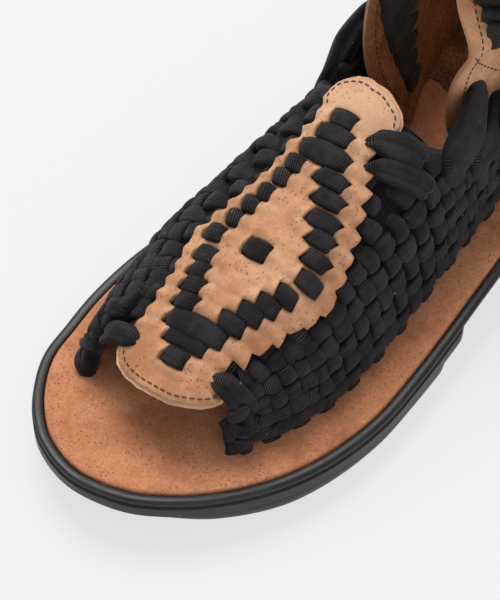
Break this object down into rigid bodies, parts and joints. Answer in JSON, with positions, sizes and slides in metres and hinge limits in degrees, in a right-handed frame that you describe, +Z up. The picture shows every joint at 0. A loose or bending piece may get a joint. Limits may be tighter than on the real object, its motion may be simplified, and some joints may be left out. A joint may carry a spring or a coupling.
{
  "type": "huarache sandal",
  "caption": "Open-toed huarache sandal for the left foot: woven strips over the foot, leather instep panel and heel counter, leather footbed in a lipped rubber sole.",
  "frame": {"origin": "middle of the shoe's length and width, on the ground", "axes": "+Y runs along the length from toe to heel, +X to the outer (little toe) side, +Z up"},
  "size_m": [0.1114, 0.293, 0.1047],
  "materials": {
    "sole_rubber": "satin moulded rubber",
    "footbed_leather": "matt nubuck",
    "strip_fabric": "matt ribbed stretch fabric over padding",
    "panel_leather": "matt nubuck",
    "counter_leather": "matt nubuck outside, suede inside"
  },
  "bodies": {
    "root": {"outsole": "sole_rubber", "footbed": "footbed_leather", "upper": "strip_fabric", "vamp_panel": "panel_leather", "heel_counter": "counter_leather"}
  },
  "joints": []
}
